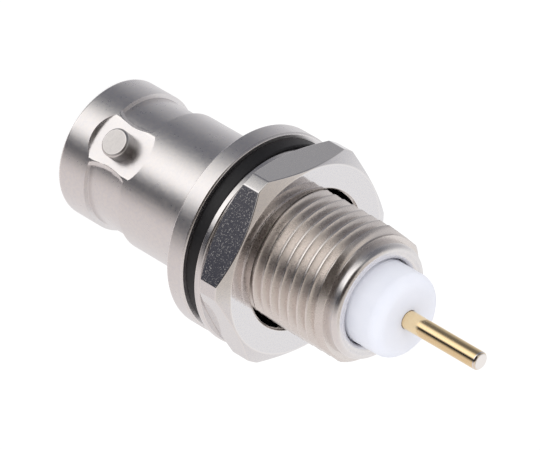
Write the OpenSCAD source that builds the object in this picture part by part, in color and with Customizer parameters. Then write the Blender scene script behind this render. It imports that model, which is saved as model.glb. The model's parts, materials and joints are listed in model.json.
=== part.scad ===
// Bulkhead coaxial jack with a bayonet coupling, nickel-plated brass.
// +Z is the connector's axis. Z = 0 is the rim of the mating end, and the solder pin points up.
// The bayonet lugs lie along Y, and the flats of the threaded shank face X. All sizes are in millimetres.

/* [Mating barrel] */
// Outer diameter of the barrel
barrel_d = 9.65; // [9.3:0.05:10]
// Length from the rim to the front face of the flange
barrel_l = 12.6; // [11:0.1:18]
// Bore that takes the plug's outer contact
bore_d = 8.15; // [7.8:0.05:8.4]
// Depth of that bore
bore_depth = 8.4; // [7.5:0.1:9.5]
// Radius of the rim's outer edge
rim_round = 0.25; // [0.1:0.05:0.35]
// Chamfer at the mouth of the bore
mouth_chamfer = 0.25; // [0.1:0.05:0.3]
// Distance from the rim to the groove that is cut round each side, between the lugs
groove_start = 2.45; // [2:0.05:3]
// Width of the groove
groove_w = 3.35; // [2.6:0.05:3.6]
// Depth of the groove
groove_depth = 0.33; // [0.1:0.01:0.36]
// Distance from the lug's axis to the nearest end of the groove
groove_end = 1.5; // [1.3:0.05:1.8]
// Radius of the groove's ends, seen along the lug
groove_end_r = 4.3; // [3.5:0.1:6]

/* [Bayonet lugs] */
// Diameter of each lug
lug_d = 2; // [1.8:0.05:2.2]
// Distance across the two lugs
lug_span = 11; // [10.6:0.05:11.6]
// Distance from the rim to the lugs' centre
lug_z = 4.25; // [3.8:0.05:4.8]
// Chamfer round the top of each lug
lug_chamfer = 0.12; // [0.05:0.01:0.2]
// Diameter of the spot face cut round each lug
pad_d = 4.9; // [4:0.1:5.2]
// Depth of the spot face below the barrel's surface
pad_depth = 0.28; // [0.24:0.01:0.5]

/* [Flange] */
// Diameter of the flange
flange_d = 14.05; // [13.6:0.05:17]
// Thickness of the flange
flange_t = 1.45; // [1:0.05:3]
// Chamfer on the flange's two edges
flange_chamfer = 0.1; // [0.05:0.01:0.2]

/* [Threaded shank] */
// Major diameter of the thread
thread_d = 9.525; // [9.3:0.025:9.8]
// Pitch of the thread
thread_pitch = 0.794; // [0.6:0.001:1]
// Length from the flange to the end of the thread
shank_l = 9.85; // [8:0.05:16]
// Distance across the two flats
across_flats = 8.75; // [8.6:0.05:9]
// Width of the relief turned between the flange and the thread
relief_w = 0.9; // [0.6:0.1:1]

/* [Rolled lip] */
// Gap between the lip and the insulator that stands out of it
lip_gap = 0.1; // [0.06:0.01:0.2]
// Wall thickness of the lip
lip_wall = 0.97; // [0.6:0.01:1]
// Height of the lip above the end of the thread
lip_h = 0.85; // [0.6:0.05:1.2]

/* [Insulators] */
// Diameter of the front insulator in the mating bore
nose_d = 4.8; // [4.6:0.05:5]
// Distance from the rim to the front insulator's end
nose_set = 3.1; // [2.8:0.1:3.6]
// Thickness of the web in front of the socket
nose_web = 0.35; // [0.25:0.05:0.6]
// Radial room that the web's hole leaves round the socket's bore
nose_hole_gap = 0.21; // [0.1:0.01:0.3]
// Width of the step by which the lip holds the insulators in
shoulder_step = 0.4; // [0.25:0.01:0.45]
// Length of the front insulator's shoulder
shoulder_l = 1.2; // [1:0.1:2]
// Diameter of the rear insulator's end
tail_d = 5.76; // [5.6:0.02:5.9]
// Length that the rear insulator stands out of the lip
tail_out = 2.45; // [0.9:0.05:4]
// Radius of the rear insulator's edge
tail_round = 0.8; // [0.1:0.05:0.85]

/* [Centre contact] */
// Bore of the socket
socket_d = 1.38; // [1.34:0.01:1.42]
// Wall thickness of the socket sleeve
sleeve_wall = 0.385; // [0.3:0.005:0.45]
// Depth of the socket
socket_depth = 5; // [4.4:0.1:6]
// Number of slots that divide the sleeve into spring fingers
slot_count = 4; // [2:2:4]
// Width of each slot
slot_w = 0.2; // [0.1:0.01:0.24]
// Depth of the socket that is left whole behind the slots
slot_root = 1; // [0.5:0.1:2.5]
// Step of the collar that is held between the insulators
collar_step = 0.525; // [0.3:0.025:0.8]
// Thickness of the collar
collar_t = 0.6; // [0.4:0.1:0.9]
// Diameter of the stem inside the rear insulator
stem_d = 1.7; // [1.6:0.05:2]
// Diameter of the solder pin
pin_d = 1.24; // [1:0.02:1.38]
// Length of the solder pin beyond the rear insulator
pin_out = 6.3; // [2:0.1:10]
// Chamfer on the solder pin's end
pin_chamfer = 0.12; // [0.05:0.01:0.25]

/* [Panel hardware] */
// Distance from the flange's edge in to the gasket's edge
gasket_inset = 0.375; // [0.2:0.025:1]
// Thickness of the gasket
gasket_t = 1.05; // [0.6:0.05:2]
// Distance from the flange's edge in to the washer's edge
washer_inset = 0.275; // [0.2:0.025:1]
// Radial play of the washer on the thread
washer_play = 0.39; // [0.37:0.01:0.6]
// Thickness of the washer
washer_t = 0.5; // [0.3:0.05:1]
// Chamfer on the washer's edges
washer_chamfer = 0.08; // [0.04:0.01:0.12]
// Distance that the washer has slipped off the axis
washer_slip = 0.35; // [0:0.01:0.35]
// Distance from the flange's edge in to the nut's flats
nut_inset = 0.375; // [0:0.025:0.5]
// Thickness of the nut
nut_t = 2.4; // [1.5:0.1:4]
// Amount by which turning has cut the nut's corners back, on the radius
corner_cut = 0.26; // [0.1:0.02:0.5]
// Angle of the nut's chamfers
nut_chamfer_deg = 30; // [20:1:40]
// Depth of the countersink at each end of the nut's hole
countersink = 0.13; // [0.05:0.01:0.3]
// Angle from the lug to the nearest flat of the tightened nut
nut_turn = 13; // [0:1:59]

/* [Clearances] */
// Radial clearance of pieces that are pressed or clamped together
seat_gap = 0.02; // [0.01:0.005:0.04]
// Radial clearance of the nut and the gasket on the thread
thread_gap = 0.04; // [0.02:0.01:0.1]

/* [Hidden] */
$fn = 96;

// Each cutter runs this far past the face that it cuts.
over = 1;

nickel = [0.80, 0.77, 0.75];
rubber = [0.09, 0.09, 0.10];
ptfe = [0.90, 0.91, 0.96];
gold = [0.88, 0.72, 0.42];

barrel_r = barrel_d / 2;
bore_r = bore_d / 2;
lug_r = lug_d / 2;
pad_height = barrel_r - pad_depth;
thread_r = thread_d / 2;
// Height of a 60 degree unified thread, from crest to root.
thread_depth = 0.6134 * thread_pitch;
root_r = thread_r - thread_depth;
// Flat that a unified thread leaves on its crest.
crest_w = thread_pitch / 8;
lip_hole_r = tail_d / 2 + lip_gap;
lip_r = lip_hole_r + lip_wall;
// The lip's section is rounded to half of its own wall.
lip_round = lip_wall / 2;

flange_rear = barrel_l + flange_t;
shank_end = flange_rear + shank_l;
lip_end = shank_end + lip_h;
gasket_rear = flange_rear + gasket_t;
washer_rear = gasket_rear + washer_t;

// The insulators meet at the contact's collar, just behind the flange.
insulator_r = lip_hole_r + shoulder_step;
seat_z = flange_rear + relief_w;
ridge_count = floor((shank_end - seat_z) / thread_pitch);
ridge_corners = [
    [root_r, seat_z],
    [thread_r, seat_z + (thread_pitch - crest_w) / 2],
    [thread_r, seat_z + (thread_pitch + crest_w) / 2]
];
joint_z = seat_z + shoulder_l;
tail_end = lip_end + tail_out;
contact_front = nose_set + nose_web;
pin_end = tail_end + pin_out;
socket_r = socket_d / 2;
sleeve_r = socket_r + sleeve_wall;
collar_r = sleeve_r + collar_step;
slot_l = socket_depth - slot_root;

// The gasket, the washer and the nut's flats lie just inside the flange's edge.
flange_r = flange_d / 2;
washer_r = flange_r - washer_inset;
nut_flats = flange_d - 2 * nut_inset;
nut_corner_r = nut_flats / sqrt(3) - corner_cut;
nut_face_r = nut_flats / 2;
nut_chamfer_h = (nut_corner_r - nut_face_r) * tan(nut_chamfer_deg);
// The lug lies at -90 degrees, and a hexagon's flat is 30 degrees from its corner.
nut_angle = nut_turn - 90 + 30;

// A disc or tube from z0 to z1, with its edges chamfered by c0 below and c1 above.
module turned(r, z0, z1, c0 = 0, c1 = 0) {
    rotate_extrude()
        polygon([[0, z0], [r - c0, z0], [r, z0 + c0], [r, z1 - c1], [r - c1, z1], [0, z1]]);
}

// A plain round hole from z0 to z1.
module drill(r, z0, z1) {
    translate([0, 0, z0]) cylinder(r = r, h = z1 - z0);
}

// A countersink whose wide end of radius r is at z and which narrows upwards.
module countersink_up(r, depth, z) {
    translate([0, 0, z - over]) cylinder(r1 = r + over, r2 = r - depth, h = over + depth);
}

// Half section of the barrel's outside, with its rounded rim.
module barrel_section() {
    translate([0, rim_round]) square([barrel_r, flange_rear - rim_round]);
    square([barrel_r - rim_round, rim_round + over]);
    translate([barrel_r - rim_round, rim_round]) circle(r = rim_round);
}

// The cutter for the groove on one side. Its ends curve towards the lugs and run out at 45 degrees.
module groove_side(side) {
    floor_end_r = groove_end_r - groove_depth;
    intersection() {
        rotate_extrude()
            translate([barrel_r - groove_depth, groove_start]) square([groove_depth + over, groove_w]);
        translate([side * (groove_end + groove_end_r), 0, groove_start + groove_w / 2])
            rotate([90, 0, 0]) {
                cylinder(r = floor_end_r, h = 2 * pad_height, center = true);
                for (lug_side = [0, 1])
                    mirror([0, 0, lug_side])
                        translate([0, 0, pad_height - groove_depth])
                            cylinder(r1 = floor_end_r, r2 = groove_end_r + over, h = groove_depth + over);
            }
    }
}

// Half section of the shank: the relief, then the thread, drawn as one 60 degree ridge for each turn.
module shank_section() {
    polygon(concat(
        [[0, 0], [root_r, 0]],
        [for (i = [0 : ridge_count - 1], corner = ridge_corners) corner + [0, i * thread_pitch]],
        [[root_r, seat_z + ridge_count * thread_pitch], [root_r, shank_end], [0, shank_end]]
    ));
}

// Half section of the lip, a ring with a rounded top that is rolled over the insulator's shoulder.
module lip_section() {
    translate([lip_hole_r, shank_end - over]) square([lip_r - lip_hole_r, lip_h + over - lip_round]);
    translate([lip_hole_r + lip_round, lip_end - lip_round]) circle(r = lip_round);
}

module flats() {
    for (side = [-1, 1])
        translate([side * (across_flats + thread_d) / 2, 0, flange_rear + (shank_end - flange_rear) / 2 + over / 2])
            cube([thread_d, 2 * thread_d, shank_end - flange_rear + over], center = true);
}

// One lug and its chamfered top, standing on the pad at -Y.
module lug() {
    translate([0, 0, lug_z])
        rotate([90, 0, 0])
            turned(lug_r, bore_r, lug_span / 2, 0, lug_chamfer);
}

// The round cut that leaves a flat pad round the lug.
module spot_face() {
    translate([0, -pad_height, lug_z])
        rotate([90, 0, 0])
            cylinder(d = pad_d, h = barrel_r);
}

module body() {
    color(nickel)
        difference() {
            union() {
                difference() {
                    rotate_extrude() barrel_section();
                    spot_face();
                    mirror([0, 1, 0]) spot_face();
                    groove_side(-1);
                    groove_side(1);
                }
                difference() {
                    union() {
                        lug();
                        mirror([0, 1, 0]) lug();
                    }
                    drill(bore_r + seat_gap, 0, bore_depth);
                }
                turned(flange_r, barrel_l, flange_rear, flange_chamfer, flange_chamfer);
                difference() {
                    rotate_extrude() shank_section();
                    flats();
                }
                rotate_extrude() lip_section();
            }
            drill(bore_r, -over, bore_depth);
            countersink_up(bore_r + mouth_chamfer, mouth_chamfer, 0);
            drill(nose_d / 2 + seat_gap, bore_depth - over, seat_z + over);
            drill(insulator_r + seat_gap, seat_z, shank_end);
            drill(lip_hole_r, shank_end - over, lip_end + over);
        }
}

module gasket() {
    color(rubber)
        difference() {
            turned(flange_r - gasket_inset, flange_rear, gasket_rear, 0, flange_chamfer);
            drill(thread_r + thread_gap, flange_rear - over, gasket_rear + over);
        }
}

module washer() {
    color(nickel)
        translate([washer_slip, 0, 0])
            difference() {
                turned(washer_r, gasket_rear, washer_rear, washer_chamfer, washer_chamfer);
                drill(thread_r + washer_play, gasket_rear - over, washer_rear + over);
            }
}

module hex_nut() {
    nut_rear = washer_rear + nut_t;
    hole_r = thread_r + thread_gap;
    color(nickel)
        difference() {
            intersection() {
                rotate([0, 0, nut_angle])
                    translate([0, 0, washer_rear])
                        cylinder(r = nut_flats / sqrt(3), h = nut_t, $fn = 6);
                rotate_extrude()
                    polygon([
                        [0, washer_rear],
                        [nut_face_r, washer_rear],
                        [nut_corner_r, washer_rear + nut_chamfer_h],
                        [nut_corner_r, nut_rear - nut_chamfer_h],
                        [nut_face_r, nut_rear],
                        [0, nut_rear]
                    ]);
            }
            drill(hole_r, washer_rear - over, nut_rear + over);
            countersink_up(hole_r + countersink, countersink, washer_rear);
            translate([0, 0, washer_rear + nut_rear])
                mirror([0, 0, 1])
                    countersink_up(hole_r + countersink, countersink, washer_rear);
        }
}

module front_insulator() {
    color(ptfe)
        difference() {
            union() {
                drill(nose_d / 2, nose_set, seat_z + over / 2);
                drill(insulator_r, seat_z, joint_z);
            }
            drill(socket_r + nose_hole_gap, nose_set - over, contact_front + over);
            drill(sleeve_r + seat_gap, contact_front, joint_z + over);
            drill(collar_r + seat_gap, joint_z - collar_t, joint_z + over);
        }
}

module rear_insulator() {
    color(ptfe)
        difference() {
            union() {
                drill(insulator_r, joint_z, shank_end);
                drill(tail_d / 2, shank_end - over, tail_end - tail_round);
                rotate_extrude() {
                    square([tail_d / 2 - tail_round, tail_end]);
                    translate([tail_d / 2 - tail_round, tail_end - tail_round]) circle(r = tail_round);
                }
            }
            drill(insulator_r + over, -over, joint_z);
            drill(stem_d / 2 + seat_gap, joint_z - over, tail_end + over);
        }
}

// Half section of the turned contact: socket sleeve, collar, stem and solder pin.
module contact_section() {
    edge = pin_chamfer;
    collar_z = joint_z - collar_t;
    polygon([
        [0, contact_front],
        [sleeve_r - edge, contact_front],
        [sleeve_r, contact_front + edge],
        [sleeve_r, collar_z],
        [collar_r, collar_z],
        [collar_r, joint_z],
        [stem_d / 2, joint_z],
        [stem_d / 2, tail_end],
        [pin_d / 2, tail_end],
        [pin_d / 2, pin_end - edge],
        [pin_d / 2 - edge, pin_end],
        [0, pin_end]
    ]);
}

module centre_contact() {
    color(gold)
        difference() {
            rotate_extrude() contact_section();
            drill(socket_r, contact_front - over, contact_front + socket_depth);
            countersink_up(socket_r + pin_chamfer, pin_chamfer, contact_front);
            for (i = [0 : slot_count / 2 - 1])
                rotate([0, 0, i * 360 / slot_count])
                    translate([-2 * sleeve_r, -slot_w / 2, contact_front - over])
                        cube([4 * sleeve_r, slot_w, slot_l + over]);
        }
}

body();
gasket();
washer();
hex_nut();
front_insulator();
rear_insulator();
centre_contact();
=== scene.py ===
import json
import math

import bpy
import numpy as np
from mathutils import Matrix, Vector


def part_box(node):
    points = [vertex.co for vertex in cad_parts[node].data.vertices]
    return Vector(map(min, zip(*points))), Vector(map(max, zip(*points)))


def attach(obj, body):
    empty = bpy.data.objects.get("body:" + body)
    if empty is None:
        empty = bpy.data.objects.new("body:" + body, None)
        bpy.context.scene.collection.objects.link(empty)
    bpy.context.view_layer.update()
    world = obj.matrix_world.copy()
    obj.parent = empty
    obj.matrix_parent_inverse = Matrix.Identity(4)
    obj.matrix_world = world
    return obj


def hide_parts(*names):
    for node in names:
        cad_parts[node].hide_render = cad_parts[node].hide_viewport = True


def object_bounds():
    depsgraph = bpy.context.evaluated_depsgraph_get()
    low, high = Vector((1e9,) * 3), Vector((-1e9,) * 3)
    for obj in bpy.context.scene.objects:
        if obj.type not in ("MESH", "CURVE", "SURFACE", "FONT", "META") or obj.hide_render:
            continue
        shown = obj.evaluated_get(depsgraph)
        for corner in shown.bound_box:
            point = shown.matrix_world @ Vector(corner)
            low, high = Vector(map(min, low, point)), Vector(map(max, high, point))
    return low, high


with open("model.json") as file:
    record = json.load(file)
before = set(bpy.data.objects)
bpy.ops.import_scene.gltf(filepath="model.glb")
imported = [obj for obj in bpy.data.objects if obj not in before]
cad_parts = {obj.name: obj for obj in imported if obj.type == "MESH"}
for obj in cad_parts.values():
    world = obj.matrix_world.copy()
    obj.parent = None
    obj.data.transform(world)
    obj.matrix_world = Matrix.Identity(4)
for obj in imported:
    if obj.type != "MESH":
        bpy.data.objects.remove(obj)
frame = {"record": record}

# Bulkhead bayonet jack in nickel-plated brass. The connector's axis is +Z, the mating rim stands on z = 0
# and the solder pin points up. Blender works in metres; the dictionaries below are in millimetres.
mm = 0.001
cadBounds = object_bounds()
mounts = {m["name"]: m for m in frame["record"]["mounts"]}


def nodeSpan(node):
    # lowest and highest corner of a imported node, in millimetres
    low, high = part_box(node)
    return np.array(low) / mm, np.array(high) / mm


bodyHigh = nodeSpan("body")[1]
gasketLow, gasketHigh = nodeSpan("gasket")
washerLow, washerHigh = nodeSpan("washer")
nutLow, nutHigh = nodeSpan("hex_nut")
noseLow, noseHigh = nodeSpan("front_insulator")
tailLow, tailHigh = nodeSpan("rear_insulator")
contactLow, contactHigh = nodeSpan("centre_contact")
barrelRadius = mounts["barrel"]["dims"]["r_mm"]
socketRadius = mounts["contact_socket"]["dims"]["r_mm"]
pinRadius = mounts["solder_pin"]["dims"]["r_mm"]


# Mesh tools


def gridQuads(rows, columns, closeRows=True, closeColumns=True):
    # vertex numbers of the quads of a rows x columns grid, wrapped round where it closes
    i = np.arange(rows if closeRows else rows - 1)[:, None]
    j = np.arange(columns if closeColumns else columns - 1)[None, :]
    nextI, nextJ = (i + 1) % rows, (j + 1) % columns
    corners = (i * columns + j, nextI * columns + j, nextI * columns + nextJ, i * columns + nextJ)
    return np.stack(np.broadcast_arrays(*corners), -1).reshape(-1, 4)


def weld(points, quads, edge, reach=2e-5):
    # points that share a place, to within reach millimetres, become one point
    keys = np.round(points / reach).astype(np.int64)
    _, first, which = np.unique(keys, axis=0, return_index=True, return_inverse=True)
    return points[first], which.reshape(-1)[quads], edge[first]


def putMesh(name, parts, material, sharpAngle=38):
    # parts is a list of (points in mm, quads, edge mask); each closed part is turned to face outwards
    allPoints, allQuads, allEdges, base = [], [], [], 0
    for points, quads, edge in parts:
        points, quads, edge = weld(points.reshape(-1, 3), quads, edge.reshape(-1))
        a, b, c, d = (points[quads[:, k]] for k in range(4))
        volume = np.einsum("ij,ij->i", a, np.cross(b, c) + np.cross(c, d)).sum()
        if volume < 0:
            quads = quads[:, ::-1]
        allPoints.append(points)
        allQuads.append(quads + base)
        allEdges.append(edge)
        base += len(points)
    points, quads, edge = np.concatenate(allPoints), np.concatenate(allQuads), np.concatenate(allEdges)
    # a quad whose neighbouring corners were welded becomes a triangle, or goes
    kept = quads != np.roll(quads, -1, axis=1)
    sound = (kept.sum(1) > 2) & (quads[:, 0] != quads[:, 2]) & (quads[:, 1] != quads[:, 3])
    quads, kept = quads[sound], kept[sound]
    corners = quads[kept]
    starts = np.concatenate([[0], np.cumsum(kept.sum(1))[:-1]])
    mesh = bpy.data.meshes.new(name)
    mesh.vertices.add(len(points))
    mesh.vertices.foreach_set("co", (points * mm).astype(np.float32).ravel())
    mesh.loops.add(len(corners))
    mesh.loops.foreach_set("vertex_index", corners.astype(np.int32))
    mesh.polygons.add(len(starts))
    mesh.polygons.foreach_set("loop_start", starts.astype(np.int32))
    mesh.update(calc_edges=True)
    mesh.validate()
    mesh.shade_smooth()
    mesh.set_sharp_from_angle(angle=math.radians(sharpAngle))
    layer = mesh.attributes.new("edgeMask", "FLOAT", "POINT")
    values = np.zeros(len(mesh.vertices), np.float32)
    values[:len(edge)] = edge[:len(values)]
    layer.data.foreach_set("value", values)
    mesh.materials.append(material)
    piece = bpy.data.objects.new(name, mesh)
    bpy.context.scene.collection.objects.link(piece)
    print("made", name, "with", len(corners) - 2 * len(starts), "triangles")
    return piece


def roundedSection(corners, cuts, steps=4):
    # A closed section whose corners are rounded. Each corner c with neighbours a and b is replaced by the
    # circular arc that starts cut before c and ends cut after it (a rational quadratic curve), with one extra
    # point guardStep further out on each side, which keeps the flat beyond it flat. Neither goes past its
    # share of the shorter side. corners is (around, corner, 2), and the mask is 1 on the arcs.
    cutShare, guardShare, guardStep = 0.42, 0.47, 0.03
    pieces, masks = [], []
    count = corners.shape[1]
    t = np.linspace(0, 1, steps + 1)[None, :, None]
    for k in range(count):
        c = corners[:, k]
        toA, toB = corners[:, k - 1] - c, corners[:, (k + 1) % count] - c
        lengthA, lengthB = (np.linalg.norm(v, axis=1, keepdims=True) for v in (toA, toB))
        toA, toB = toA / np.maximum(lengthA, 1e-9), toB / np.maximum(lengthB, 1e-9)
        cut = np.minimum(cuts[k], cutShare * np.minimum(lengthA, lengthB))
        weight = np.sqrt(np.clip(1 - (toA * toB).sum(1, keepdims=True), 0, 2) / 2)[:, None, :]
        start, end = (c + toA * cut)[:, None, :], (c + toB * cut)[:, None, :]
        share = ((1 - t) ** 2, 2 * weight * t * (1 - t), t ** 2)
        arc = share[0] * start + share[1] * c[:, None, :] + share[2] * end
        arc = arc / (share[0] + share[1] + share[2])
        guard = np.minimum(cut + guardStep, guardShare * np.minimum(lengthA, lengthB))
        pieces.append(np.concatenate([(c + toA * guard)[:, None], arc, (c + toB * guard)[:, None]], 1))
        mask = np.zeros(steps + 3)
        mask[1:-1] = 1
        masks.append(mask if cuts[k] > 0 else mask * 0)
    return np.concatenate(pieces, 1), np.concatenate(masks)


def carried(section, mask, angles, centre=(0.0, 0.0)):
    # The section (around, point, 2), as radius and height, is carried round the axis: x = r cos(a),
    # y = r sin(a), z = h.
    section = np.broadcast_to(section, (len(angles),) + section.shape[1:])
    radius, height = section[..., 0], section[..., 1]
    a = angles[:, None]
    points = np.stack([radius * np.cos(a) + centre[0], radius * np.sin(a) + centre[1], height], -1)
    edge = np.broadcast_to(mask, radius.shape)
    return points, gridQuads(*radius.shape), edge


def evenAngles(count):
    return np.arange(count) * 2 * np.pi / count


def turnedPart(corners, cuts, count=144, steps=4, centre=(0.0, 0.0)):
    # a lathe-turned form from a closed list of (radius, height) corners
    section, mask = roundedSection(np.array(corners, float)[None], cuts, steps)
    return carried(section, mask, evenAngles(count), centre)


def softMin(a, b, reach):
    # the smaller of two heights, blended over reach so that no crease is left
    h = np.clip(0.5 + 0.5 * (b - a) / reach, 0, 1)
    return b + (a - b) * h - reach * h * (1 - h)


# Node tools


def addNode(tree, kind, label=None, **settings):
    made = tree.nodes.new(kind)
    if label:
        made.label = label
    for key, value in settings.items():
        setattr(made, key, value)
    return made


def feed(tree, target, value):
    # links an output to an input, or writes a plain value on it
    if isinstance(value, bpy.types.NodeSocket):
        tree.links.new(value, target)
    else:
        target.default_value = value


def mathNode(tree, operation, a, b=None, c=None, clamp=False):
    made = addNode(tree, "ShaderNodeMath", operation=operation, use_clamp=clamp)
    for k, value in enumerate((a, b, c)):
        if value is not None:
            feed(tree, made.inputs[k], value)
    return made.outputs[0]


def mixColour(tree, factor, a, b):
    made = addNode(tree, "ShaderNodeMix", data_type="RGBA")
    feed(tree, made.inputs[0], factor)
    feed(tree, made.inputs[6], a)
    feed(tree, made.inputs[7], b)
    return made.outputs[2]


def rampNode(tree, value, stops, interpolation="LINEAR"):
    made = addNode(tree, "ShaderNodeValToRGB")
    made.color_ramp.interpolation = interpolation
    elements = made.color_ramp.elements
    while len(elements) > 1:
        elements.remove(elements[-1])
    for k, (place, tone) in enumerate(stops):
        element = elements[0] if k == 0 else elements.new(place)
        element.position = place
        element.color = (tone, tone, tone, 1) if np.isscalar(tone) else (*tone, 1)
    feed(tree, made.inputs[0], value)
    return made.outputs[0]


def newGroup(name, inputs, outputs):
    # a shader node group with named inputs (name, kind, default) and outputs (name, kind)
    group = bpy.data.node_groups.new(name, "ShaderNodeTree")
    for title, kind, default in inputs:
        socket = group.interface.new_socket(title, in_out="INPUT", socket_type=kind)
        if default is not None:
            socket.default_value = default
    for title, kind in outputs:
        group.interface.new_socket(title, in_out="OUTPUT", socket_type=kind)
    return group, group.nodes.new("NodeGroupInput").outputs, group.nodes.new("NodeGroupOutput").inputs


def useGroup(tree, group, **values):
    made = addNode(tree, "ShaderNodeGroup", node_tree=group)
    for key, value in values.items():
        feed(tree, made.inputs[key], value)
    return made.outputs


def newMaterial(name):
    material = bpy.data.materials.new(name)
    material.use_nodes = True
    tree = material.node_tree
    return material, tree, tree.nodes["Principled BSDF"]


# Fine plated grain: two sizes of noise on the object's own coordinates. Height goes to a Bump node, and Shade
# and Sheen are masks from 0 to 1 with a mean of a half.
grainGroup, given, out = newGroup(
    "platedGrain",
    [("GrainPerMm", "NodeSocketFloat", 14.0), ("CloudPerMm", "NodeSocketFloat", 0.8),
     ("Roughen", "NodeSocketFloat", 0.6)],
    [("Height", "NodeSocketFloat"), ("Shade", "NodeSocketFloat"), ("Sheen", "NodeSocketFloat")])
coords = addNode(grainGroup, "ShaderNodeTexCoord")
fineScale = mathNode(grainGroup, "MULTIPLY", given["GrainPerMm"], 1 / mm)
cloudScale = mathNode(grainGroup, "MULTIPLY", given["CloudPerMm"], 1 / mm)
fine = addNode(grainGroup, "ShaderNodeTexNoise", "grain")
cloud = addNode(grainGroup, "ShaderNodeTexNoise", "clouds")
for node, scale, detail in ((fine, fineScale, 2.0), (cloud, cloudScale, 4.0)):
    grainGroup.links.new(coords.outputs["Object"], node.inputs["Vector"])
    grainGroup.links.new(scale, node.inputs["Scale"])
    node.inputs["Detail"].default_value = detail
grainGroup.links.new(given["Roughen"], fine.inputs["Roughness"])
grainGroup.links.new(fine.outputs[0], out["Height"])
grainGroup.links.new(fine.outputs[0], out["Shade"])
grainGroup.links.new(cloud.outputs[0], out["Sheen"])

# Turning marks: noise that changes only with the radius and the height, so it lies in rings round the axis
turnedGroup, given, out = newGroup(
    "turningMarks",
    [("RingsPerMm", "NodeSocketFloat", 6.0)],
    [("Height", "NodeSocketFloat")])
coords = addNode(turnedGroup, "ShaderNodeTexCoord")
parts = addNode(turnedGroup, "ShaderNodeSeparateXYZ")
turnedGroup.links.new(coords.outputs["Object"], parts.inputs[0])
squares = [mathNode(turnedGroup, "POWER", parts.outputs[k], 2.0) for k in (0, 1)]
radius = mathNode(turnedGroup, "SQRT", mathNode(turnedGroup, "ADD", *squares))
ringScale = mathNode(turnedGroup, "MULTIPLY", given["RingsPerMm"], 1 / mm)
flat = addNode(turnedGroup, "ShaderNodeCombineXYZ")
turnedGroup.links.new(mathNode(turnedGroup, "MULTIPLY", radius, ringScale), flat.inputs[0])
turnedGroup.links.new(mathNode(turnedGroup, "MULTIPLY", parts.outputs[2], ringScale), flat.inputs[1])
rings = addNode(turnedGroup, "ShaderNodeTexNoise")
rings.inputs["Scale"].default_value = 1.0
rings.inputs["Detail"].default_value = 3.0
turnedGroup.links.new(flat.outputs[0], rings.inputs["Vector"])
turnedGroup.links.new(rings.outputs[0], out["Height"])


def raiseBump(tree, shader, height):
    # height is in millimetres
    bump = addNode(tree, "ShaderNodeBump")
    bump.inputs["Distance"].default_value = mm
    feed(tree, bump.inputs["Height"], height)
    tree.links.new(bump.outputs[0], shader.inputs["Normal"])


def nickelPlate(name, finish):
    # satin or bright plate: base colour between two tones, roughness by cloud, grain and dull specks, with
    # smoother edges that are lighter in colour, partly worn plate and partly a painted highlight
    material, tree, shader = newMaterial(name)
    grain = useGroup(tree, grainGroup, GrainPerMm=finish["grainPerMm"], CloudPerMm=finish["cloudPerMm"])
    rings = useGroup(tree, turnedGroup, RingsPerMm=finish["ringsPerMm"])
    edge = addNode(tree, "ShaderNodeAttribute", attribute_name="edgeMask").outputs["Fac"]
    low, high = 0.5 - finish["mottle"] / 2, 0.5 + finish["mottle"] / 2
    mottled = rampNode(tree, grain["Shade"], [(low, 0.0), (high, 1.0)])
    colour = mixColour(tree, mottled, (*finish["dark"], 1), (*finish["light"], 1))
    # edges are lightened towards a pale tone: partly worn plate, partly a painted highlight along them
    worn = mathNode(tree, "MULTIPLY", edge, finish["edgeWear"])
    colour = mixColour(tree, worn, colour, (*finish["worn"], 1))
    feed(tree, shader.inputs["Base Color"], colour)
    cloudy = mathNode(tree, "SUBTRACT", grain["Sheen"], 0.5)
    rough = mathNode(tree, "MULTIPLY_ADD", cloudy, finish["roughCloud"], finish["roughness"])
    grainy = mathNode(tree, "SUBTRACT", grain["Shade"], 0.5)
    rough = mathNode(tree, "MULTIPLY_ADD", grainy, finish["roughGrain"], rough)
    speckFrom, speckFade = finish["speckFrom"], 0.06
    specks = rampNode(tree, grain["Shade"], [(speckFrom, 0.0), (speckFrom + speckFade, 1.0)])
    rough = mathNode(tree, "MULTIPLY_ADD", specks, finish["speckDull"], rough)
    rough = mathNode(tree, "MULTIPLY_ADD", edge, -finish["edgePolish"], rough, clamp=True)
    feed(tree, shader.inputs["Roughness"], rough)
    relief = mathNode(tree, "MULTIPLY", grain["Height"], finish["grainDepth"])
    raiseBump(tree, shader, mathNode(tree, "MULTIPLY_ADD", rings["Height"], finish["ringDepth"], relief))
    shader.inputs["Metallic"].default_value = 1.0
    return material


def mouldedSurface(name, finish):
    # rubber or polymer: base colour between two tones by cloud, roughness by grain, turning marks if any
    material, tree, shader = newMaterial(name)
    grain = useGroup(tree, grainGroup, GrainPerMm=finish["grainPerMm"], CloudPerMm=finish["cloudPerMm"])
    colour = mixColour(tree, grain["Sheen"], (*finish["dark"], 1), (*finish["light"], 1))
    feed(tree, shader.inputs["Base Color"], colour)
    smoothest = finish["roughness"] - finish["roughGrain"] / 2
    rough = mathNode(tree, "MULTIPLY_ADD", grain["Shade"], finish["roughGrain"], smoothest)
    feed(tree, shader.inputs["Roughness"], rough)
    relief = mathNode(tree, "MULTIPLY", grain["Height"], finish["grainDepth"])
    if "ringDepth" in finish:
        rings = useGroup(tree, turnedGroup, RingsPerMm=finish["ringsPerMm"])
        relief = mathNode(tree, "MULTIPLY_ADD", rings["Height"], finish["ringDepth"], relief)
    raiseBump(tree, shader, relief)
    return material, shader


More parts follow.
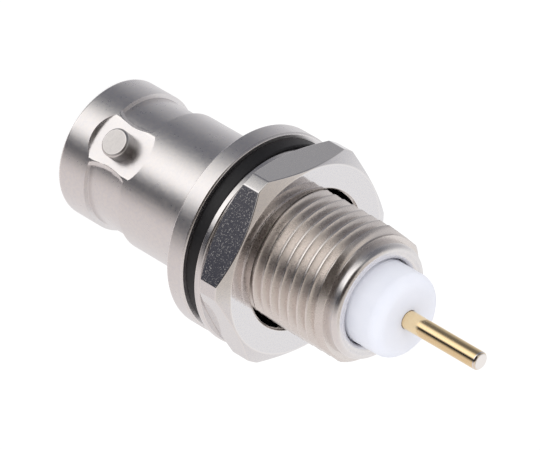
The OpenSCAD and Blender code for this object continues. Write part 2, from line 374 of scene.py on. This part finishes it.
bodyFinish = {
    "dark": (0.78, 0.78, 0.81), "light": (0.93, 0.90, 0.87), "worn": (0.95, 0.93, 0.91), "mottle": 0.8,
    "grainPerMm": 4.5, "cloudPerMm": 0.7, "ringsPerMm": 5.0,
    "roughness": 0.30, "roughCloud": 0.08, "roughGrain": 0.10, "speckFrom": 0.62, "speckDull": 0.02,
    "edgeWear": 0.5, "edgePolish": 0.06, "grainDepth": 0.003, "ringDepth": 0.001,
}
nutFinish = {
    "dark": (0.76, 0.76, 0.79), "light": (0.90, 0.88, 0.86), "worn": (0.96, 0.94, 0.92), "mottle": 0.4,
    "grainPerMm": 10.0, "cloudPerMm": 0.9, "ringsPerMm": 4.0,
    "roughness": 0.055, "roughCloud": 0.02, "roughGrain": 0.02, "speckFrom": 0.585, "speckDull": 0.26,
    "edgeWear": 0.6, "edgePolish": 0.02, "grainDepth": 0.0012, "ringDepth": 0.0006,
}
washerFinish = dict(bodyFinish, roughness=0.24)
threadFinish = dict(bodyFinish, dark=(0.78, 0.74, 0.71), light=(0.91, 0.86, 0.82), roughness=0.28)
lugFinish = dict(
    bodyFinish, dark=(0.58, 0.57, 0.57), light=(0.78, 0.76, 0.74), roughness=0.36, grainPerMm=5.0)
satinNickel = nickelPlate("satinNickel", bodyFinish)
lugNickel = nickelPlate("lugNickel", lugFinish)
threadNickel = nickelPlate("threadNickel", threadFinish)
brightNickel = nickelPlate("brightNickel", nutFinish)
washerNickel = nickelPlate("washerNickel", washerFinish)

# soft black rubber with a dull bloom
rubberFinish = {
    "dark": (0.003, 0.003, 0.004), "light": (0.009, 0.009, 0.012), "grainPerMm": 12.0, "cloudPerMm": 1.2,
    "roughness": 0.5, "roughGrain": 0.2, "grainDepth": 0.004,
}
rubber, _ = mouldedSurface("gasketRubber", rubberFinish)

# waxy white fluoropolymer, faintly blue, with light turning rings
polymerFinish = {
    "dark": (0.80, 0.82, 0.91), "light": (0.86, 0.87, 0.95), "grainPerMm": 7.0, "cloudPerMm": 0.9,
    "ringsPerMm": 5.0, "roughness": 0.45, "roughGrain": 0.16, "grainDepth": 0.002, "ringDepth": 0.003,
    "shine": 0.3, "glowThrough": 0.25, "glowDepth": 0.4,
}
polymer, shader = mouldedSurface("waxyPolymer", polymerFinish)
shader.inputs["Specular IOR Level"].default_value = polymerFinish["shine"]
shader.inputs["Subsurface Weight"].default_value = polymerFinish["glowThrough"]
shader.inputs["Subsurface Radius"].default_value = (1.0, 1.0, 1.0)
shader.inputs["Subsurface Scale"].default_value = polymerFinish["glowDepth"] * mm

# gold plate on the centre contact
goldFinish = dict(
    nutFinish, dark=(0.95, 0.72, 0.40), light=(1.0, 0.82, 0.52), worn=(0.97, 0.95, 0.94), edgeWear=0.9,
    roughness=0.13, roughCloud=0.05, roughGrain=0.06, speckDull=0.08, ringsPerMm=7.0)
goldPlate = nickelPlate("goldPlate", goldFinish)
print("materials made:", len([m for m in bpy.data.materials if m.use_nodes]))


# The jack's body
# One section is carried round the axis. Between the rim and the flange the radius at angle a and height h is
# the smallest of three. The first is the turned barrel. The second is the cutter that faces each lug, a plane
# at padHeight, so padHeight / cos(a), which rises steeply where the distance from the lug's axis passes
# padRadius. The third is the groove's floor, which runs out at 45 degrees where the distance from the centre
# of its curved end passes grooveEndRadius.
jack = {
    "boreRadius": 4.075, "boreDepth": 8.4, "rimRound": 0.25, "mouthChamfer": 0.25,
    "grooveStart": 2.45, "grooveWidth": 3.35, "grooveDepth": 0.33, "grooveWall": 0.07,
    "grooveEnd": 1.5, "grooveEndRadius": 4.3,
    "lugHeight": 4.25, "padRadius": 2.45, "padHeight": 4.545, "padWall": 0.06,
    "flangeFront": 12.6, "flangeRear": 14.05, "flangeChamfer": 0.1,
    "reliefRadius": 4.2755, "coreRadius": 4.2, "threadEnd": 23.9,
    "lipRadius": 3.95, "lipHole": 2.98, "seatRadius": 3.4, "seatHeight": 14.95, "noseHole": 2.42,
    "softEdge": 0.035,
}


def jackAngles():
    # close steps across the two spot faces, closest at the groove's ends, and wider ones between
    reach, endsFrom = np.radians(27), np.radians(16.5)
    ends = np.linspace(endsFrom, reach, 28)
    near = np.concatenate([-ends[::-1], np.linspace(-endsFrom, endsFrom, 33)[1:-1], ends])
    far = np.linspace(reach, np.pi - reach, 56)[1:-1]
    half = np.concatenate([near, far])
    return np.concatenate([half, half + np.pi]) - np.pi / 2


def smoothStep(value):
    t = np.clip(value, 0, 1)
    return t * t * (3 - 2 * t)


def barrelSkin(angles):
    # widest is the largest angle from a lug's axis that is worked out, in radians. lift is how far a cut
    # rises outside its edge. Rows are close together up to closeTo.
    j = jack
    widest, lift, blend, crease, closeTo = 1.2, 1.2, 0.02, 0.03, 7.4
    turn = np.abs((angles + np.pi) % np.pi - np.pi / 2)[:, None]
    across = j["padHeight"] * np.tan(np.minimum(turn, widest))
    grooveEnd = j["grooveStart"] + j["grooveWidth"]
    wallSteps = np.array([-1.2, -0.5, 0, 0.1, 0.18, 0.26, 0.34, 0.42, 0.55, 0.9, 1.6])
    wall = wallSteps * j["grooveWall"]
    closeRows = np.linspace(j["rimRound"] + 0.1, closeTo, 26)
    wideRows = np.linspace(closeTo, j["flangeFront"] - 0.2, 8)[1:]
    fixed = np.concatenate([closeRows, wideRows, j["grooveStart"] + wall, grooveEnd - wall])
    rings = j["padRadius"] + j["padWall"] * wallSteps
    reach = np.sqrt(np.maximum(rings[None, :] ** 2 - across ** 2, 0))
    # the groove's ends, seen along the lug: circles of grooveEndRadius about a point out to the side
    endHeight = j["grooveStart"] + j["grooveWidth"] / 2
    endAcross = j["grooveEnd"] + j["grooveEndRadius"] - np.minimum(across, barrelRadius)
    endRings = j["grooveEndRadius"] + np.array([0.05, 0.0, -0.06, -0.15, -0.25, -0.33])
    endReach = np.sqrt(np.maximum(endRings[None, :] ** 2 - endAcross ** 2, 0))
    endReach = np.minimum(endReach, 0.55 * j["grooveWidth"])
    height = np.concatenate([
        np.broadcast_to(fixed, (len(angles), len(fixed))), j["lugHeight"] - reach, j["lugHeight"] + reach,
        endHeight - endReach, endHeight + endReach], 1)
    height = np.sort(height, axis=1)
    lean = np.cos(np.minimum(turn, widest))
    away = np.hypot(across, height - j["lugHeight"])
    cutter = j["padHeight"] / lean + lift * smoothStep((away - j["padRadius"]) / j["padWall"])
    fromEnd = np.hypot(endAcross, height - endHeight) - j["grooveEndRadius"]
    # away from its ends the groove has no run-out, so that surface drops far below the floor
    clear, clearOver = 10, 0.15
    runOut = (j["padHeight"] + fromEnd) / lean - clear * smoothStep((-j["grooveDepth"] - fromEnd) / clearOver)
    groove = -softMin(-runOut, np.full_like(runOut, j["grooveDepth"] - barrelRadius), 2 * blend)
    fromStart, toEnd = height - j["grooveStart"], grooveEnd - height
    inside = smoothStep(fromStart / j["grooveWall"]) * smoothStep(toEnd / j["grooveWall"])
    groove = groove + lift * (1 - inside)
    turned = softMin(np.full_like(groove, barrelRadius), cutter, blend)
    radius = softMin(turned, groove, blend)
    # the creases along the cuts take the lighter edge tone: partly worn plate, partly a painted highlight
    creases = [np.exp(-((a - b) / crease) ** 2) for a, b in ((barrelRadius, cutter), (turned, groove))]
    return np.stack([radius, height], -1), np.maximum(*creases)


def jackPart():
    j = jack
    angles = jackAngles()
    e, chamfer = j["softEdge"], j["flangeChamfer"]
    flangeRadius, lipTop = bodyHigh[0], bodyHigh[2]
    lipRound = (j["lipRadius"] - j["lipHole"]) / 2
    rows = [
        (j["noseHole"], j["boreDepth"], 0.03), (j["boreRadius"], j["boreDepth"], 0.05),
        (j["boreRadius"], j["mouthChamfer"], e), (j["boreRadius"] + j["mouthChamfer"], 0, e),
        (barrelRadius, 0, j["rimRound"]),
        (barrelRadius, j["flangeFront"], 0.06), (flangeRadius - chamfer, j["flangeFront"], e),
        (flangeRadius, j["flangeFront"] + chamfer, e), (flangeRadius, j["flangeRear"] - chamfer, e),
        (flangeRadius - chamfer, j["flangeRear"], e), (j["reliefRadius"], j["flangeRear"], e),
        (j["reliefRadius"], j["seatHeight"], 0), (j["coreRadius"], j["seatHeight"] + 0.1, 0),
        (j["coreRadius"], j["threadEnd"] - 0.05, 0), (j["lipRadius"], j["threadEnd"] - 0.05, 0),
        (j["lipRadius"], lipTop, lipRound), (j["lipHole"], lipTop, lipRound),
        (j["lipHole"], j["threadEnd"], 0), (j["seatRadius"], j["threadEnd"], 0),
        (j["seatRadius"], j["seatHeight"], 0), (j["noseHole"], j["seatHeight"], 0),
    ]
    steps = 5
    section, mask = roundedSection(np.array([row[:2] for row in rows])[None], [row[2] for row in rows], steps)
    section = np.broadcast_to(section, (len(angles),) + section.shape[1:])
    skin, edge = barrelSkin(angles)
    # the barrel's skin goes in after the rim, which is the fifth corner
    afterRim = 5 * (steps + 3)
    section = np.concatenate([section[:, :afterRim], skin, section[:, afterRim:]], 1)
    mask = np.broadcast_to(mask, (len(angles), len(mask)))
    mask = np.concatenate([mask[:, :afterRim], edge, mask[:, afterRim:]], 1)
    return carried(section, mask, angles)


jackBody = putMesh("jackBody", [jackPart()], satinNickel)
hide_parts("body")


# The two bayonet lugs, turned about Y and standing on their spot faces
lug = {"radius": 1.0, "foot": 4.2, "top": 5.5, "chamfer": 0.12, "softEdge": 0.04}


def lugPart(side):
    corners = [(0, lug["foot"]), (lug["radius"], lug["foot"]), (lug["radius"], lug["top"] - lug["chamfer"]),
               (lug["radius"] - lug["chamfer"], lug["top"]), (0, lug["top"])]
    section, mask = roundedSection(np.array(corners)[None], [0, 0, lug["softEdge"], lug["softEdge"], 0], 4)
    points, quads, edge = carried(section, mask, evenAngles(96))
    height = points[..., 1] + jack["lugHeight"]
    return np.stack([points[..., 0], side * points[..., 2], height], -1), quads, edge


bayonetLugs = putMesh("bayonetLugs", [lugPart(-1), lugPart(1)], lugNickel)
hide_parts("body")


# The fine thread: right hand, 60 degree flanks, cut away by the end cones and by the two flats
thread = {
    "crestRadius": 4.7625, "rootRadius": 4.2755, "pitch": 0.794, "flatDistance": 4.375,
    "start": 14.95, "end": 23.9, "wallRadius": 3.8, "crestFlat": 0.125, "soft": 0.02,
}


def threadPart():
    # Height h = start + pitch * (turns + a / 2pi). Radius is the least of the ridge's profile at that many
    # turns, the 45 degree end cones and the flats at x = +-flatDistance. Rows follow the helix, so its crests
    # stay crisp.
    t = thread
    fine, coarse = np.radians(0.7), np.radians(2.2)
    reach = np.radians(25)
    near = np.linspace(-reach, reach, int(2 * reach / fine) + 1)
    far = np.linspace(reach, np.pi - reach, int((np.pi - 2 * reach) / coarse) + 1)[1:-1]
    half = np.concatenate([near, far])
    a = np.concatenate([half, half + np.pi, [2 * np.pi - reach]]) + reach
    turnAngle = a - reach
    profile = np.array([0, 0.035, 0.055, 0.075, 0.105, 0.17, 0.24, 0.32, 0.385, 0.415, 0.44, 0.47, 0.5])
    share = np.concatenate([-profile[1:-1][::-1], profile])
    turns = int(np.ceil((t["end"] - t["start"]) / t["pitch"])) + 2
    row = (np.arange(-1, turns)[:, None] + share[None, :]).ravel()
    phase = np.abs(row - np.round(row))
    flank = np.tan(np.radians(30))
    ridge = t["crestRadius"] - np.maximum(phase - t["crestFlat"] / 2, 0) * t["pitch"] / flank
    ridge = softMin(ridge, t["crestRadius"] - 0.002, 2 * t["soft"])
    ridge = -softMin(-ridge, -t["rootRadius"], 2 * t["soft"])
    climb = t["pitch"] * (row[None, :] + a[:, None] / (2 * np.pi) - 1)
    height = np.clip(t["start"] + climb, t["start"], t["end"])
    cone = t["rootRadius"] + np.minimum(height - t["start"], t["end"] - height)
    flat = t["flatDistance"] / np.maximum(np.abs(np.cos(turnAngle))[:, None], 1e-3)
    cut = np.minimum(np.broadcast_to(ridge, height.shape), np.maximum(flat, t["rootRadius"] - 0.01))
    radius = softMin(cut, cone, 0.01)
    radius = np.maximum(radius, t["rootRadius"] - 0.02)
    # the sleeve's two ends turn in to the hidden inner wall
    inner = np.full((len(a), 1), t["wallRadius"])
    radius = np.concatenate([inner, radius, inner], 1)
    height = np.concatenate([np.full((len(a), 1), t["start"]), height, np.full((len(a), 1), t["end"])], 1)
    points = np.stack([radius * np.cos(turnAngle)[:, None], radius * np.sin(turnAngle)[:, None], height], -1)
    # the crests take the lighter edge tone: partly worn plate, partly a painted highlight
    edge = np.clip((radius - t["crestRadius"] + 0.05) / 0.05, 0, 1)
    return points, gridQuads(*radius.shape, closeRows=False), edge


bodyThread = putMesh("bodyThread", [threadPart()], threadNickel, sharpAngle=50)
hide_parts("body")


# The gasket and the washer, plain turned rings
gasket = {"holeRadius": 4.8025, "softEdge": 0.08}
r, z0, z1 = gasketHigh[0], gasketLow[2], gasketHigh[2]
panelGasket = putMesh("panelGasket", [turnedPart(
    [(gasket["holeRadius"], z0), (r, z0), (r, z1), (gasket["holeRadius"], z1)],
    [0.03, 0.03, gasket["softEdge"], 0.03])], rubber)
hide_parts("gasket")

washer = {"holeRadius": 5.1525, "edgeCut": 0.0833, "softEdge": 0.03}
middle = (washerLow[0] + washerHigh[0]) / 2
r, z0, z1 = (washerHigh[0] - washerLow[0]) / 2, washerLow[2], washerHigh[2]
cut = washer["edgeCut"]
plainWasher = putMesh("plainWasher", [turnedPart(
    [(washer["holeRadius"], z0), (r - cut, z0), (r, z0 + cut), (r, z1 - cut), (r - cut, z1),
     (washer["holeRadius"], z1)],
    [0.02, 0.02, washer["softEdge"], washer["softEdge"], 0.02, 0.02], centre=(middle, 0.0))], washerNickel)
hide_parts("washer")


# The hex nut, with its corners turned back and a cone on each face
nut = {
    "flatRadius": 6.65, "cornerRadius": 7.42, "faceInset": 0.1, "holeRadius": 4.8025, "countersink": 0.13,
    "chamferAngle": 30.0, "turn": 13.0, "softEdge": 0.05,
}


def nutPart():
    # At each angle the side lies at the smaller of flatRadius / cos(a) and the turned corner radius. The two
    # cones meet it at a height that grows with that radius, so their edges are the true curves of a cut
    # hexagon.
    n = nut
    corner = math.degrees(math.acos(n["flatRadius"] / n["cornerRadius"]))
    atCorner = np.array([-0.8, -0.5, -0.25, 0, 0.25, 0.5, 0.8])
    sector = np.concatenate([
        np.linspace(-corner + 1.2, corner - 1.2, 33), corner + atCorner,
        [corner + 1.3, 30.0, 60 - corner - 1.3], 60 - corner + atCorner])
    local = np.radians((sector[None, :] + 60 * np.arange(6)[:, None]).ravel())
    away = np.abs((local + np.radians(30)) % np.radians(60) - np.radians(30))
    side = softMin(n["flatRadius"] / np.cos(away), np.full_like(local, n["cornerRadius"]), 0.02)
    z0, z1 = nutLow[2], nutHigh[2]
    face = n["flatRadius"] - n["faceInset"]
    rise = (side - face) * math.tan(math.radians(n["chamferAngle"]))
    hole, sink, e = n["holeRadius"], n["countersink"], n["softEdge"]
    rows = [
        (hole, z0 + sink, 0.02), (hole + sink, z0, 0.03), (face, z0, e), (side, z0 + rise, e),
        (side, z1 - rise, e), (face, z1, e), (hole + sink, z1, 0.03), (hole, z1 - sink, 0.02),
    ]
    corners = np.stack([np.stack(np.broadcast_arrays(r, z, local)[:2], -1) for r, z, _ in rows], 1)
    section, mask = roundedSection(corners, [cut for _, _, cut in rows], 4)
    return carried(section, mask, local + math.radians(n["turn"] - 90))


hexNut = putMesh("hexNut", [nutPart()], brightNickel)
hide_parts("hex_nut")


# The two insulators
nose = {
    "radius": 2.4, "shoulderRadius": 3.38, "shoulderHeight": 14.95, "webHole": 0.9, "web": 3.45,
    "sleeveHole": 1.095,
}
n, z0, z1 = nose, noseLow[2], noseHigh[2]
noseInsulator = putMesh("noseInsulator", [turnedPart(
    [(n["webHole"], z0), (n["radius"], z0), (n["radius"], n["shoulderHeight"]),
     (n["shoulderRadius"], n["shoulderHeight"]), (n["shoulderRadius"], z1), (n["sleeveHole"], z1),
     (n["sleeveHole"], n["web"]), (n["webHole"], n["web"])],
    [0.06, 0.12, 0, 0, 0, 0, 0, 0.03], count=96)], polymer)
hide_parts("front_insulator")

tail = {
    "radius": 2.88, "shoulderRadius": 3.38, "shoulderEnd": 23.9, "holeRadius": 0.87, "edgeRound": 0.8,
    "faceHole": 0.635, "faceWall": 0.4,
}
n, z0, z1 = tail, tailLow[2], tailHigh[2]
tailInsulator = putMesh("tailInsulator", [turnedPart(
    [(n["holeRadius"], z0), (n["shoulderRadius"], z0), (n["shoulderRadius"], n["shoulderEnd"]),
     (n["radius"], n["shoulderEnd"]), (n["radius"], z1), (n["faceHole"], z1),
     (n["faceHole"], z1 - n["faceWall"]), (n["holeRadius"], z1 - n["faceWall"])],
    [0, 0, 0, 0, n["edgeRound"], 0.03, 0, 0], count=128, steps=8)], polymer)
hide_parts("rear_insulator")


# The centre contact: a turned pin, stem and collar, and four spring fingers round the socket
contact = {
    "sleeveRadius": 1.075, "slotWidth": 0.2, "slotLength": 4.0, "socketDepth": 5.0, "collarRadius": 1.6,
    "collarFront": 15.55, "collarRear": 16.15, "stemRadius": 0.85, "stemEnd": 26.7, "endChamfer": 0.12,
}


def contactParts():
    c = contact
    front, end = contactLow[2], contactHigh[2]
    cut = c["endChamfer"]
    slotEnd, floor = front + c["slotLength"], front + c["socketDepth"]
    points, quads, edge = turnedPart(
        [(0, floor), (socketRadius, floor), (socketRadius, slotEnd), (c["sleeveRadius"], slotEnd),
         (c["sleeveRadius"], c["collarFront"]), (c["collarRadius"], c["collarFront"]),
         (c["collarRadius"], c["collarRear"]), (c["stemRadius"], c["collarRear"]),
         (c["stemRadius"], c["stemEnd"]), (pinRadius, c["stemEnd"]),
         (pinRadius, end - cut), (pinRadius - cut, end), (0, end)],
        [0, 0.03, 0, 0, 0.03, 0.03, 0.03, 0.03, 0.03, 0, 0.05, 0.05, 0], count=96)
    # the cut end of the pin is bare
    bare = (np.hypot(points[..., 0], points[..., 1]) < pinRadius - cut / 2) & (points[..., 2] > end - 0.01)
    turned = points, quads, np.where(bare, 1.0, edge)
    # a finger: its section from the mouth to the slots' end, carried from one slot's wall to the next
    corners = [(socketRadius, slotEnd), (socketRadius, front + cut), (socketRadius + cut, front),
               (c["sleeveRadius"] - cut, front), (c["sleeveRadius"], front + cut),
               (c["sleeveRadius"], slotEnd)]
    section, mask = roundedSection(np.array(corners)[None], [0, 0.04, 0.04, 0.04, 0.04, 0], 3)
    fingers = []
    for k in range(4):
        gap = np.arcsin(c["slotWidth"] / 2 / section[..., 0])
        span = np.linspace(0, 1, 25)[:, None]
        angle = k * np.pi / 2 + gap + span * (np.pi / 2 - 2 * gap)
        radius, height = (np.broadcast_to(section[..., m], angle.shape) for m in (0, 1))
        points = np.stack([radius * np.cos(angle), radius * np.sin(angle), height], -1)
        # each end closes to the middle of its section
        ends = [np.broadcast_to(points[[e]].mean(1, keepdims=True), (1,) + points.shape[1:]) for e in (0, -1)]
        points = np.concatenate([ends[0], points, ends[1]])
        quads, edge = gridQuads(*points.shape[:2], closeRows=False), np.broadcast_to(mask, points.shape[:2])
        fingers.append((points, quads, edge))
    return [turned] + fingers


centreContact = putMesh("centreContact", contactParts(), goldPlate)
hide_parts("centre_contact")

for piece, body, slot in (
        (jackBody, "jack", "body"), (bayonetLugs, "jack", "body"), (bodyThread, "jack", "body"),
        (panelGasket, "jack", "gasket"), (plainWasher, "washer", "washer"), (hexNut, "nut", "nut"),
        (noseInsulator, "jack", "insulator"), (tailInsulator, "jack", "insulator"),
        (centreContact, "jack", "contact")):
    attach(piece, body)


# Camera: azimuth 0 looks along +Y, roll turns the picture so that the pin end points down to the right
cameraSetup = {
    "azimuth": 3.4, "elevation": 36.86, "roll": 120.2, "distance": 380.7, "lens": 400.0, "sensor": 36.0,
    "aim": (-0.746, -0.044, 14.18),
}


def makeCamera():
    c = cameraSetup
    a, e, roll = (math.radians(c[k]) for k in ("azimuth", "elevation", "roll"))
    back = Vector((math.sin(a) * math.cos(e), -math.cos(a) * math.cos(e), math.sin(e)))
    levelRight = Vector((math.cos(a), math.sin(a), 0))
    levelUp = back.cross(levelRight)
    right = math.cos(roll) * levelRight + math.sin(roll) * levelUp
    up = back.cross(right)
    data = bpy.data.cameras.new("productCamera")
    data.lens, data.sensor_width, data.sensor_fit = c["lens"], c["sensor"], "HORIZONTAL"
    data.clip_start, data.clip_end = 0.01, 10.0
    camera = bpy.data.objects.new("productCamera", data)
    bpy.context.scene.collection.objects.link(camera)
    place = (Vector(c["aim"]) + back * c["distance"]) * mm
    camera.matrix_world = Matrix((
        (right.x, up.x, back.x, place.x), (right.y, up.y, back.y, place.y),
        (right.z, up.z, back.z, place.z), (0, 0, 0, 1)))
    bpy.context.scene.camera = camera
    return a


cameraAzimuth = makeCamera()


# Studio: a white tent with two black cards, soft lamps and a white table
studio = {
    # colour of the tent's wall at each bearing from the camera's side, in degrees, positive towards +X
    "tent": [
        (-180, (0.88, 0.87, 0.88)), (-150, (0.80, 0.79, 0.80)), (-122, (0.48, 0.47, 0.49)),
        (-101, (0.34, 0.335, 0.345)), (-88, (0.19, 0.19, 0.21)), (-64, (0.14, 0.14, 0.16)),
        (-50, (0.25, 0.25, 0.26)), (-38, (0.74, 0.72, 0.70)), (-28, (1.08, 1.04, 1.02)),
        (-12, (1.24, 1.20, 1.18)), (2, (1.24, 1.20, 1.18)), (11, (0.72, 0.70, 0.69)),
        (19, (0.07, 0.07, 0.085)), (28, (0.02, 0.022, 0.03)), (38, (0.07, 0.07, 0.08)),
        (50, (0.42, 0.39, 0.38)), (64, (0.72, 0.66, 0.65)), (110, (0.74, 0.69, 0.68)),
        (145, (0.80, 0.77, 0.77)), (180, (0.88, 0.87, 0.88))],
    # colour above the wall, by the height of the direction looked in, and where the wall gives way to it
    "roof": [
        (0.0, (0.90, 0.88, 0.87)), (0.65, (0.95, 0.93, 0.92)), (0.86, (0.62, 0.57, 0.53)),
        (1.0, (0.50, 0.45, 0.41))],
    "wallTop": (0.70, 0.82),
    # the dark round the lens: its colour, its half angles and its height in degrees
    "lensDark": (0.045, 0.036, 0.032), "lensInner": 27.0, "lensOuter": 42.0, "lensHeight": 36.9,
    "plainWorld": 0.95,
    # each lamp's place from the object's middle, its size and its power
    "keyLamp": ((-90, -120, 120), 90, 0.05), "fillLamp": ((140, -60, 60), 90, 0.03),
    # the table's half width in metres, its colour to light, and its colour and glow to the camera
    "tableReach": 1.5, "tableWhite": 0.80, "tableSeen": 0.16, "tableGlow": 0.9,
}


def byRay(tree, plain, mirrored, straight):
    # plain is what lights the object, mirrored what its metal shows, and straight what the camera sees
    ray = addNode(tree, "ShaderNodeLightPath").outputs
    glossy = mathNode(tree, "MAXIMUM", ray["Is Glossy Ray"], ray["Is Transmission Ray"])
    first, second = addNode(tree, "ShaderNodeMixShader"), addNode(tree, "ShaderNodeMixShader")
    feed(tree, first.inputs[0], glossy)
    tree.links.new(plain.outputs[0], first.inputs[1])
    tree.links.new(mirrored.outputs[0], first.inputs[2])
    feed(tree, second.inputs[0], ray["Is Camera Ray"])
    tree.links.new(first.outputs[0], second.inputs[1])
    tree.links.new(straight.outputs[0], second.inputs[2])
    return second.outputs[0]


def makeWorld():
    world = bpy.data.worlds.new("studioTent")
    bpy.context.scene.world = world
    world.use_nodes = True
    world.cycles.sampling_method = "NONE"
    tree = world.node_tree
    tree.nodes.clear()
    coords = addNode(tree, "ShaderNodeTexCoord")
    a, e = cameraAzimuth, math.radians(studio["lensHeight"])
    axes = []
    for vector in ((math.cos(a), math.sin(a), 0), (math.sin(a), -math.cos(a), 0)):
        dot = addNode(tree, "ShaderNodeVectorMath", operation="DOT_PRODUCT")
        tree.links.new(coords.outputs["Generated"], dot.inputs[0])
        dot.inputs[1].default_value = vector
        axes.append(dot.outputs["Value"])
    bearing = mathNode(tree, "ARCTAN2", *axes)
    share = mathNode(tree, "MULTIPLY_ADD", bearing, 1 / (2 * math.pi), 0.5)
    walls = rampNode(tree, share, [((b + 180) / 360, tone) for b, tone in studio["tent"]])
    height = addNode(tree, "ShaderNodeSeparateXYZ")
    tree.links.new(coords.outputs["Generated"], height.inputs[0])
    roof = rampNode(tree, height.outputs[2], studio["roof"])
    low, high = studio["wallTop"]
    upper = rampNode(tree, height.outputs[2], [(low, 0.0), (high, 1.0)], "EASE")
    seen = mixColour(tree, upper, walls, roof)
    toLens = addNode(tree, "ShaderNodeVectorMath", operation="DOT_PRODUCT")
    tree.links.new(coords.outputs["Generated"], toLens.inputs[0])
    toLens.inputs[1].default_value = (math.sin(a) * math.cos(e), -math.cos(a) * math.cos(e), math.sin(e))
    outer, inner = (math.cos(math.radians(studio[k])) for k in ("lensOuter", "lensInner"))
    dark = rampNode(tree, toLens.outputs["Value"], [(outer, 0.0), (inner, 1.0)], "EASE")
    seen = mixColour(tree, dark, seen, (*studio["lensDark"], 1))
    plain, shiny, straight = (addNode(tree, "ShaderNodeBackground") for _ in range(3))
    plain.inputs[1].default_value = studio["plainWorld"]
    plain.inputs[0].default_value = (1, 1, 1, 1)
    feed(tree, shiny.inputs[0], seen)
    straight.inputs[0].default_value = (1, 1, 1, 1)
    output = addNode(tree, "ShaderNodeOutputWorld")
    tree.links.new(byRay(tree, plain, shiny, straight), output.inputs[0])


def makeLamp(name, place, size, watts):
    data = bpy.data.lights.new(name, "AREA")
    data.shape, data.size, data.energy = "DISK", size * mm, watts
    lamp = bpy.data.objects.new(name, data)
    bpy.context.scene.collection.objects.link(lamp)
    middle = (Vector(cadBounds[0]) + Vector(cadBounds[1])) / 2
    lamp.location = middle + Vector(place) * mm
    lamp.rotation_mode = "QUATERNION"
    lamp.rotation_quaternion = (middle - lamp.location).to_track_quat("-Z", "Y")
    lamp.visible_glossy = False


def makeTable():
    # metal looks past the table into the tent, and the camera sees it white with the object's soft shadow
    mesh = bpy.data.meshes.new("studioTable")
    r = studio["tableReach"]
    mesh.from_pydata([(-r, -r, 0), (r, -r, 0), (r, r, 0), (-r, r, 0)], [], [(0, 1, 2, 3)])
    table = bpy.data.objects.new("studioTable", mesh)
    bpy.context.scene.collection.objects.link(table)
    material, tree, shader = newMaterial("tableWhite")
    tree.nodes.remove(shader)
    diffuse, faint = (addNode(tree, "ShaderNodeBsdfDiffuse") for _ in range(2))
    glow, through = addNode(tree, "ShaderNodeEmission"), addNode(tree, "ShaderNodeBsdfTransparent")
    diffuse.inputs[0].default_value = (studio["tableWhite"],) * 3 + (1,)
    faint.inputs[0].default_value = (studio["tableSeen"],) * 3 + (1,)
    glow.inputs[1].default_value = studio["tableGlow"]
    lit = addNode(tree, "ShaderNodeAddShader")
    tree.links.new(faint.outputs[0], lit.inputs[0])
    tree.links.new(glow.outputs[0], lit.inputs[1])
    tree.links.new(byRay(tree, diffuse, through, lit), tree.nodes["Material Output"].inputs[0])
    mesh.materials.append(material)


makeWorld()
makeTable()
for name in ("keyLamp", "fillLamp"):
    makeLamp(name, *studio[name])
bpy.context.scene.view_settings.view_transform = "Standard"
print("studio, lamps and camera made")
